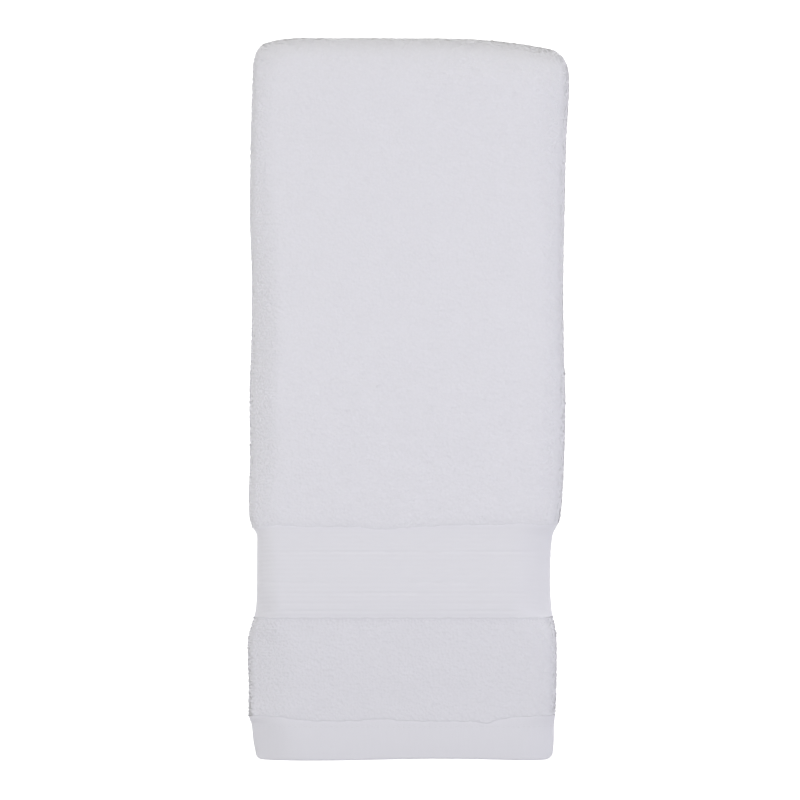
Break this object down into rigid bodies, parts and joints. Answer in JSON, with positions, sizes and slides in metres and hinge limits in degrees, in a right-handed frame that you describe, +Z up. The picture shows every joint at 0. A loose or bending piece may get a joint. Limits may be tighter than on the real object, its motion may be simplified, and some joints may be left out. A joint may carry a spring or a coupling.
{
  "type": "hand towel",
  "caption": "Cotton terry hand towel with a flat woven border, folded in three across its width and once across its length, lying face up.",
  "frame": {"origin": "middle of the folded towel's footprint, on the surface it lies on", "axes": "+X to the right across the towel, +Y from the hems to the far fold, +Z up from the surface, out of the face that shows"},
  "size_m": [0.157, 0.3518, 0.0229],
  "materials": {
    "terry": "white cotton terry with a faint blue cast, matte, cut by a flat woven border"
  },
  "bodies": {
    "root": {"towel": "terry"}
  },
  "joints": []
}
